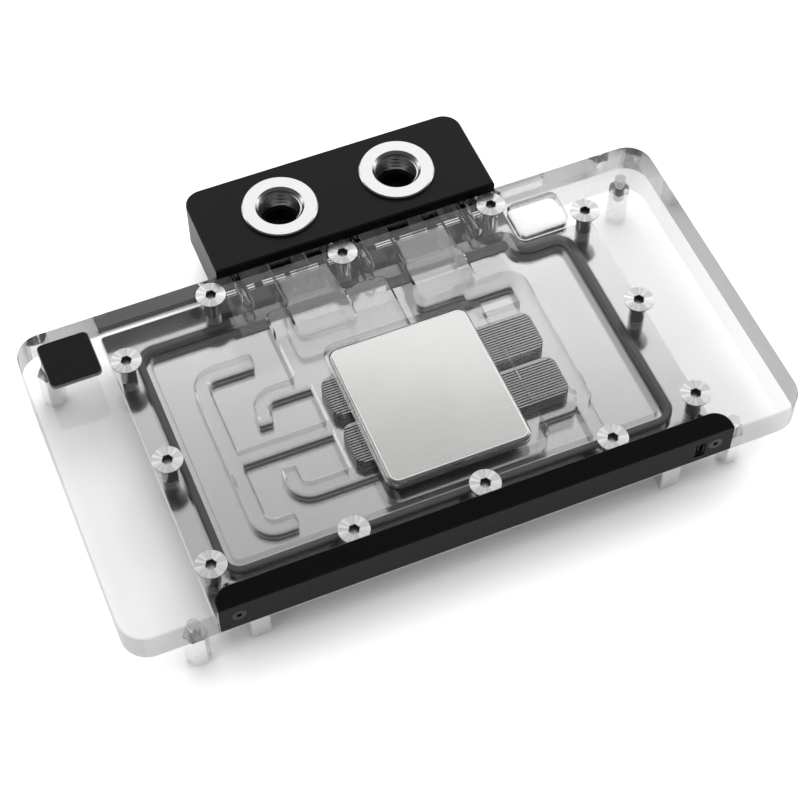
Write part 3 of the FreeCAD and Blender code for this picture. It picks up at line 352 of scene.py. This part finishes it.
def make_lights():
    """Soft square studio lights aimed at the object."""
    for name, (location, side, power) in LIGHTS.items():
        data = bpy.data.lights.new(name, "AREA")
        data.shape = "RECTANGLE"
        data.size = side
        data.size_y = side
        data.energy = power
        light = bpy.data.objects.new(name, data)
        bpy.context.scene.collection.objects.link(light)
        light.location = location
        light.rotation_euler = (-Vector(location)).to_track_quat("-Z", "Y").to_euler()
        light.visible_glossy = False


def make_world():
    """Studio surroundings: a bright softbox low behind the object, a dimmer ceiling above it.

    The shade depends on the angle round the picture's own horizontal: 0 at the horizon behind
    the object, 90 at the zenith and 180 at the horizon behind the camera.
    """
    world = bpy.data.worlds.new("studio")
    bpy.context.scene.world = world
    world.use_nodes = True
    tree = Tree(world.node_tree)
    tree.clear()
    direction = tree.add("ShaderNodeTexCoord").outputs["Generated"]
    axes = tree.add("ShaderNodeSeparateXYZ", Vector=direction).outputs
    away = tree.math("ADD", tree.math("MULTIPLY", axes["X"], -math.sin(CAMERA_AZIMUTH)),
                     tree.math("MULTIPLY", axes["Y"], math.cos(CAMERA_AZIMUTH)))
    angle = tree.math("DIVIDE", tree.math("ARCTAN2", axes["Z"], away), math.pi)
    stops = [(degrees / 180, grey / SKY_PEAK) for degrees, grey in SKY]
    background = tree.add("ShaderNodeBackground", Color=tree.ramp(angle, stops),
                          Strength=SKY_PEAK)
    output = tree.add("ShaderNodeOutputWorld")
    tree.link(background.outputs[0], output.inputs["Surface"])


def make_floor():
    """Plain pale floor under the standoffs."""
    low = min(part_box(node)[0].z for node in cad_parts)
    bpy.ops.mesh.primitive_plane_add(size=FLOOR_SIZE, location=(0, 0, low))
    floor = bpy.context.object
    floor.name = "floor"
    material, tree, shader = principled("floor", FLOOR_COLOUR, 0.0, FLOOR_ROUGHNESS)
    tree.link(tree.shades(tree.noise(FLOOR_CLOUD), FLOOR_GREYS), shader.inputs["Base Color"])
    glow_white(shader, FLOOR_GLOW)
    floor.data.materials.append(material)


def acrylic():
    """Clear acrylic: what lies behind shows straight through, under gloss and edge tint.

    Its outer walls are tinted more, and its milled walls are polished near the plate only.
    """
    material = bpy.data.materials.new("clear_acrylic")
    material.use_nodes = True
    tree = Tree(material.node_tree)
    tree.clear()
    low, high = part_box("clear_cover")
    left, right = (corner.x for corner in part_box("terminal_block"))
    axes = tree.axes()
    ends = tree.beyond(axes["X"], low.x, high.x, RIM_MARGIN)
    rim = tree.math("MAXIMUM", ends, tree.beyond(axes["Y"], low.y, high.y, RIM_MARGIN))
    ducts = tree.math("MULTIPLY", tree.math("GREATER_THAN", axes["Y"], high.y - DUCT_DEPTH),
                      tree.math("SUBTRACT", 1.0, tree.beyond(axes["X"], left, right, 0.0)))
    wall = tree.math("SUBTRACT", 1.0, tree.level())
    haze = tree.shades(tree.noise(HAZE_CLOUD), [CLEAR * share for share in HAZE_SHADES])
    edge_tint = tree.math("MULTIPLY", tree.math("MULTIPLY", rim, wall), EDGE_TINT)
    clear = tree.add("ShaderNodeBsdfTransparent", Color=tree.math("SUBTRACT", haze, edge_tint))
    rough = tree.shades(tree.noise(ACRYLIC_GRAIN, ACRYLIC_STRETCH), ACRYLIC_ROUGHNESS)
    end_tint = tree.math("MULTIPLY", tree.math("MULTIPLY", ends, wall), EDGE_TINT)
    shine = tree.math("SUBTRACT", ACRYLIC_SHINE, end_tint)
    gloss = tree.add("ShaderNodeBsdfGlossy", Color=shine, Roughness=rough)
    polish = tree.ramp(axes["Z"], WALL_POLISH, (low.z, low.z + MIRROR_WALL))
    fresnel = tree.add("ShaderNodeFresnel", IOR=ACRYLIC_INDEX).outputs[0]
    edge = tree.math("MULTIPLY", fresnel,
                     tree.math("MAXIMUM", tree.math("MAXIMUM", rim, ducts), polish))
    mix = tree.add("ShaderNodeMixShader", Fac=edge)
    tree.link(clear.outputs[0], mix.inputs[1])
    tree.link(gloss.outputs[0], mix.inputs[2])
    output = tree.add("ShaderNodeOutputMaterial")
    tree.link(mix.outputs[0], output.inputs["Surface"])
    return material


def metal(name, colour, roughness, stretch=(1, 1, 1), relief=METAL_RELIEF):
    """Metal with a fine grain in its colour, roughness and surface."""
    material, tree, shader = principled(name, colour, 1.0, roughness)
    fine = tree.noise(METAL_GRAIN, stretch)
    colours = [tuple(min(part * share, 1.0) for part in colour) for share in METAL_SHADES]
    tree.link(tree.shades(fine, colours), shader.inputs["Base Color"])
    rough = tree.shades(fine, [roughness * share for share in METAL_ROUGHNESS], WIDE)
    tree.link(rough, shader.inputs["Roughness"])
    tree.link(tree.bump(fine, METAL_BUMP, relief), shader.inputs["Normal"])
    return material


def nickel():
    """Satin nickel of the copper plate, with painted shade on the fins for the shade in their
    gaps.
    """
    smooth, middle, rough = PLATE_ROUGHNESS
    material, tree, shader = principled("nickel", PLATE_GREY, 1.0, middle)
    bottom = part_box("clear_cover")[0].z
    fine = tree.noise(METAL_GRAIN, PLATE_STRETCH)
    plain = tree.shades(fine, [PLATE_GREY[0] * share for share in PLATE_SHADES])
    # Painted shade: the colour is darkened on the fins above the plate, for the shade in their
    # gaps.
    painted_fin_shade = tree.ramp(tree.axes()["Z"], [(0, 1.0), (1, FIN_PAINTED_SHADE)],
                     (bottom + FIN_START, bottom + FIN_END))
    tree.link(tree.math("MULTIPLY", plain, painted_fin_shade), shader.inputs["Base Color"])
    tree.link(tree.shades(fine, (smooth, rough), WIDE), shader.inputs["Roughness"])
    tree.link(tree.bump(fine, PLATE_BUMP, PLATE_RELIEF), shader.inputs["Normal"])
    return material


def painted_edge_glint(name, glow=0.0):
    """A pale warm strip: a painted edge highlight, which may also glow as painted light."""
    material, tree, shader = principled(name, PAINTED_GLINT_COLOUR, 0.0, PAINTED_GLINT_ROUGHNESS)
    glow_white(shader, glow)
    tree.link(tree.shades(tree.noise(PAINTED_GLINT_GRAIN), PAINTED_GLINT_SHADES), shader.inputs["Base Color"])
    return material


def turned_steel():
    """Turned steel: real highlights fan out from each head; painted wedges and shade are in its
    colour.
    """
    grey = TURNED_GREY
    smooth, middle, rough = TURNED_ROUGHNESS
    material, tree, shader = principled("turned_steel", (grey, grey, grey), 1.0, middle)
    shader.inputs["Anisotropic"].default_value = TURNED_STRETCH
    shader.inputs["Anisotropic Rotation"].default_value = TURNED_TURN
    tangent = tree.add("ShaderNodeTangent")
    tangent.direction_type = "UV_MAP"
    tangent.uv_map = TURNED_MAP
    tree.link(tangent.outputs[0], shader.inputs["Tangent"])
    fine = tree.noise(TURNED_GRAIN)
    # Painted shade: upright sides, such as the shanks, are darker than the heads.
    side = tree.shades(tree.level(), (TURNED_SIDE_SHADE, 1.0), WIDE)
    # Painted highlight and shade: brighter and darker wedges round each head.
    plain = tree.ramp(tree.streaks(), [(stop, grey * share) for stop, share in PAINTED_WEDGE_SHADES])
    tree.link(tree.math("MULTIPLY", plain, side), shader.inputs["Base Color"])
    tree.link(tree.shades(fine, (smooth, rough), WIDE), shader.inputs["Roughness"])
    return material


def black(name, grey, roughness, metallic=0.0, shine=0.12, side=1.0):
    """Anodised metal, plastic or rubber with a fine matt grain, mostly black.

    Its upright walls may be painted paler than its top, by a factor: painted light.
    """
    material, tree, shader = principled(name, (grey, grey, grey), metallic, roughness)
    shader.inputs["Specular IOR Level"].default_value = shine
    fine = tree.noise(MATT_GRAIN)
    plain = tree.shades(fine, [grey * share for share in MATT_SHADES])
    # Painted light: upright walls are made paler than the top by the side factor.
    painted_wall_light = tree.math("SUBTRACT", side, tree.math("MULTIPLY", tree.level(), side - 1.0))
    tree.link(tree.math("MULTIPLY", plain, painted_wall_light), shader.inputs["Base Color"])
    rough = tree.shades(tree.noise(MATT_CLOUD), [roughness * share for share in MATT_ROUGHNESS])
    tree.link(rough, shader.inputs["Roughness"])
    tree.link(tree.bump(fine, MATT_BUMP, MATT_RELIEF), shader.inputs["Normal"])
    return material


def rubber(name):
    """Black rubber of a seal."""
    return black(name, grey=0.05, roughness=0.45, shine=0.3)


def board(name, grey):
    """White lacquered circuit board, or the white body of a diode on it."""
    return black(name, grey, roughness=0.4)


def dress(nodes, material):
    """Gives CAD nodes a material."""
    for node in nodes:
        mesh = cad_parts[node].data
        mesh.materials.clear()
        mesh.materials.append(material)


def dress_all():
    """Materials of all CAD nodes."""
    posts = [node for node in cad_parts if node.startswith("standoff_")]
    dress(["clear_cover"], acrylic())
    dress(["cold_plate"], nickel())
    dress(["flow_plate"], metal("flow_steel", FLOW_GREY, roughness=0.10, stretch=FLOW_STRETCH,
                                relief=FLOW_RELIEF))
    dress(["perimeter_o_ring"], rubber("o_ring_rubber"))
    dress(["inlet_seal", "outlet_seal"], rubber("duct_seal_rubber"))
    dress(["terminal_block"], black("terminal_black", grey=0.006, roughness=0.36, shine=0.08))
    dress(["inlet_port_ring", "outlet_port_ring"],
          metal("port_silver", RING_GREY, roughness=0.14))
    # Painted light: the bar's upright walls are painted paler than its top.
    dress(["light_bar_cover"],
          black("bar_black", grey=0.002, roughness=0.34, shine=0.03, side=10.0))
    dress(["led_strip"], board("strip_board", grey=0.75))
    dress(["led_diodes"], board("diode_white", grey=0.85))
    dress(["led_socket"], black("socket_black", grey=0.02, roughness=0.35))
    # Painted highlight: the badge's upright edges are painted much paler than its top.
    dress(["badge"], black("badge_black", grey=0.006, roughness=0.36, shine=0.06, side=60.0))
    dress(["terminal_screws"],
          metal("terminal_screw_steel", colour=(0.8, 0.8, 0.8), roughness=0.12))
    dress(["light_bar_screws"],
          black("bar_screw_black", grey=0.03, roughness=0.3, metallic=0.6))
    dress(posts, metal("standoff_nickel", colour=(0.84, 0.84, 0.83), roughness=0.25))


def islands(node):
    """Boxes of a node's separate solids, as (lowest, highest) corners."""
    mesh = bmesh.new()
    mesh.from_mesh(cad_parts[node].data)
    bmesh.ops.remove_doubles(mesh, verts=mesh.verts, dist=WELD)
    left, boxes = set(mesh.verts), []
    while left:
        queue, points = [left.pop()], []
        while queue:
            vertex = queue.pop()
            points.append(vertex.co.copy())
            near = [edge.other_vert(vertex) for edge in vertex.link_edges]
            fresh = [other for other in near if other in left]
            left.difference_update(fresh)
            queue.extend(fresh)
        corners = [[pick(point[axis] for point in points) for axis in range(3)]
                   for pick in (min, max)]
        boxes.append((Vector(corners[0]), Vector(corners[1])))
    mesh.free()
    return sorted(boxes, key=lambda box: tuple(box[0]))


def loft(name, stacks, steps, closed=False):
    """A piece of stacks of rings; a ring is (height, radius at a turn), about a centre.

    The rings of a stack are joined by faces. Its ends are capped, or joined when closed. The
    map that turned_steel reads runs round each ring.
    """
    mesh = bmesh.new()
    around = mesh.loops.layers.uv.new(TURNED_MAP)
    turns = [step / steps for step in range(steps)]
    for centre, rings in stacks:
        loops = []
        for height, radius in rings:
            loops.append([mesh.verts.new((
                centre.x + radius(turn) * math.cos(2 * math.pi * turn),
                centre.y + radius(turn) * math.sin(2 * math.pi * turn),
                centre.z + height)) for turn in turns])
        pairs = list(zip(loops, loops[1:])) + ([(loops[-1], loops[0])] if closed else [])
        for level, (lower, upper) in enumerate(pairs):
            for step in range(steps):
                after = (step + 1) % steps
                face = mesh.faces.new((lower[step], lower[after], upper[after], upper[step]))
                places = [(step, level), (step + 1, level), (step + 1, level + 1),
                          (step, level + 1)]
                for corner, (along, up) in zip(face.loops, places):
                    corner[around].uv = (along / steps, up / len(pairs))
        if not closed:
            mesh.faces.new(reversed(loops[0]))
            mesh.faces.new(loops[-1])
    return piece_of(name, mesh)


def join_loops(mesh, pairs):
    """Joins each pair of vertex loops by faces."""
    for first, second in pairs:
        for step in range(len(first)):
            after = (step + 1) % len(first)
            mesh.faces.new((first[step], first[after], second[after], second[step]))


def piece_of(name, mesh):
    """An object made of a finished mesh, which rides on the body."""
    bmesh.ops.recalc_face_normals(mesh, faces=mesh.faces)
    data = bpy.data.meshes.new(name)
    mesh.to_mesh(data)
    mesh.free()
    piece = bpy.data.objects.new(name, data)
    bpy.context.scene.collection.objects.link(piece)
    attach(piece, BODY)
    return piece


def finish_piece(piece, material):
    """Gives a piece its material."""
    piece.data.materials.append(material)


def round_ring(radius):
    """A round ring of a constant radius."""
    return lambda turn: radius


def key_ring(flat):
    """A hexagonal ring, by its distance from the middle to a flat."""
    def radius(turn):
        off = (turn * KEY_SIDES) % 1 - 0.5
        return flat / math.cos(off * 2 * math.pi / KEY_SIDES)
    return radius


def thread_ring(outer, depth, height, pitch):
    """A ring that cuts a thread's ridges at a height: its radius sways once a turn."""
    def radius(turn):
        phase = (height / pitch - turn) % 1
        return outer - depth * abs(2 * phase - 1)
    return radius


def make_cover_screws():
    """Countersunk screws with hexagon sockets, smooth shanks and threaded ends."""
    stacks = []
    for low, high in islands("cover_screws"):
        head, length = (high.x - low.x) / 2, high.z - low.z
        top = Vector(((low.x + high.x) / 2, (low.y + high.y) / 2, high.z))
        levels = range(int(SCREW_THREADED / SCREW_PITCH * THREAD_RINGS))
        heights = [-length + SCREW_LEAD + SCREW_PITCH * level / THREAD_RINGS for level in levels]
        rings = [(-length, round_ring(SCREW_SHANK - SCREW_POINT))]
        rings += [(height, thread_ring(SCREW_SHANK, SCREW_THREAD_DEPTH, height, SCREW_PITCH))
                  for height in heights]
        neck = SCREW_RIM + head - SCREW_SHANK
        rings += [(heights[-1] + SCREW_RUNOUT, round_ring(SCREW_SHANK)),
                  (-neck, round_ring(SCREW_SHANK)), (-SCREW_RIM, round_ring(head)),
                  (-HEAD_BREAK_DEPTH, round_ring(head)), (0, round_ring(head - HEAD_BREAK)),
                  (0, key_ring(SCREW_KEY + KEY_BREAK)), (-KEY_BREAK, key_ring(SCREW_KEY)),
                  (-SCREW_KEY_DEPTH, key_ring(SCREW_KEY))]
        stacks.append((top, rings))
    screws = loft("cover_screw_set", stacks, ROUND_STEPS)
    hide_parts("cover_screws")
    finish_piece(screws, turned_steel())


def make_port_threads():
    """The G1/4 threads inside the two collars."""
    stacks = []
    for node in ("inlet_port_ring", "outlet_port_ring"):
        low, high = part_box(node)
        middle = Vector(((low.x + high.x) / 2, (low.y + high.y) / 2, low.z))
        levels = range(int((high.z - low.z - PORT_MOUTH) / PORT_PITCH * THREAD_RINGS))
        heights = [PORT_PITCH * level / THREAD_RINGS for level in levels]
        outside = PORT_BORE + PORT_SINK
        rings = [(height, thread_ring(PORT_BORE, PORT_THREAD_DEPTH, height, PORT_PITCH))
                 for height in heights]
        rings += [(heights[-1], round_ring(outside)), (0, round_ring(outside))]
        stacks.append((middle, rings))
    threads = loft("port_threads", stacks, PORT_STEPS, closed=True)
    finish_piece(threads, metal("thread_silver", RING_GREY, PORT_ROUGHNESS))


def make_flow_plate_glint():
    """A thin pale strip round the top edge of the flow plate: a painted highlight."""
    low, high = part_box("flow_plate")
    mesh = bmesh.new()
    loops = []
    for inset, height in ((0, 0), (LINE_WIDTH, 0), (LINE_WIDTH, LINE_THICK), (0, LINE_THICK)):
        out = LINE_INSET + inset
        corner = LINE_CORNER - inset
        loop = []
        for quarter, (right, back) in enumerate([(1, 1), (-1, 1), (-1, -1), (1, -1)]):
            middle = ((high.x - out - corner) if right > 0 else (low.x + out + corner),
                      (high.y - out - corner) if back > 0 else (low.y + out + corner))
            for step in range(LINE_STEPS + 1):
                angle = (quarter + step / LINE_STEPS) * math.pi / 2
                loop.append(mesh.verts.new((middle[0] + corner * math.cos(angle),
                                            middle[1] + corner * math.sin(angle),
                                            high.z + height)))
        loops.append(loop)
    join_loops(mesh, zip(loops, loops[1:] + loops[:1]))
    finish_piece(piece_of("flow_plate_painted_glint", mesh), painted_edge_glint("painted_edge_glint"))


def bar(mesh, low, high):
    """Adds a small straight bar between two corners, its top edges broken."""
    inset = min(high.y - low.y, high.z - low.z) * GLINT_BREAK
    loops = []
    for height, inward in ((low.z, 0), (high.z - inset, 0), (high.z, inset)):
        loops.append([mesh.verts.new((x, y, height)) for x, y in (
            (low.x + inward, low.y + inward), (high.x - inward, low.y + inward),
            (high.x - inward, high.y - inward), (low.x + inward, high.y - inward))])
    join_loops(mesh, zip(loops, loops[1:]))
    mesh.faces.new(reversed(loops[0]))
    mesh.faces.new(loops[-1])


def make_back_glint():
    """Painted glints along the cover's lower back edge between the duct ribs: small glowing
    bars.
    """
    cover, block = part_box("clear_cover"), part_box("terminal_block")
    span = block[1].x - block[0].x
    mesh = bmesh.new()
    for start, end in GLINTS:
        low = Vector((block[0].x + start * span, cover[1].y - GLINT_BACK - GLINT_SIZE,
                      cover[0].z + GLINT_UP))
        high = Vector((block[0].x + end * span, low.y + GLINT_SIZE, low.z + GLINT_SIZE))
        bar(mesh, low, high)
    glow = painted_edge_glint("back_glint", GLINT_GLOW)
    finish_piece(piece_of("cover_edge_glint", mesh), glow)


def main():
    """Dresses the frame and makes the stage, the fine detail, the lights and the camera."""
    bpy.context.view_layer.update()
    bpy.context.scene.view_settings.view_transform = "Standard"
    make_camera()
    make_world()
    make_floor()
    dress_all()
    make_cover_screws()
    make_port_threads()
    make_flow_plate_glint()
    make_back_glint()
    make_lights()


main()
